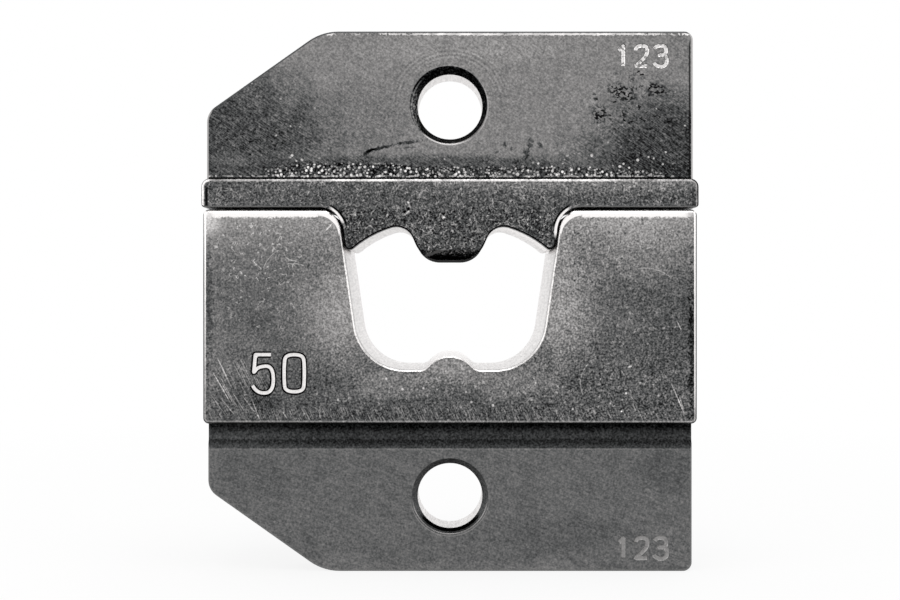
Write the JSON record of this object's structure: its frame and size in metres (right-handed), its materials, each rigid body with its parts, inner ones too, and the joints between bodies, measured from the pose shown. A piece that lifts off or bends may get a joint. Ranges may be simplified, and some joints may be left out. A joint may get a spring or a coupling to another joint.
{
  "type": "crimp die insert",
  "caption": "Crimp die insert for a hand tool: a nest die with a tapered U-shaped nest and an anvil die with lobes and a middle tooth, closing on a straight slide.",
  "frame": {"origin": "centre of the lower die's screw hole, halfway through the tang's thickness", "axes": "+Z is the closing direction, from the nest die up to the anvil die; +Y points from the front to the back; +X to the right as seen from the front"},
  "size_m": [0.0388, 0.012, 0.0432],
  "materials": {
    "nest_steel": "blackened, satin, lightly scratched",
    "anvil_steel": "blackened, satin, scuffed"
  },
  "bodies": {
    "lower_die": {"lower_die": "nest_steel"},
    "upper_die": {"upper_die": "anvil_steel"}
  },
  "joints": [
    {"name": "closing_slide", "type": "slide", "parent": "lower_die", "child": "upper_die", "axis": [0, 0, 1], "range_m": [0, 0.018]}
  ]
}
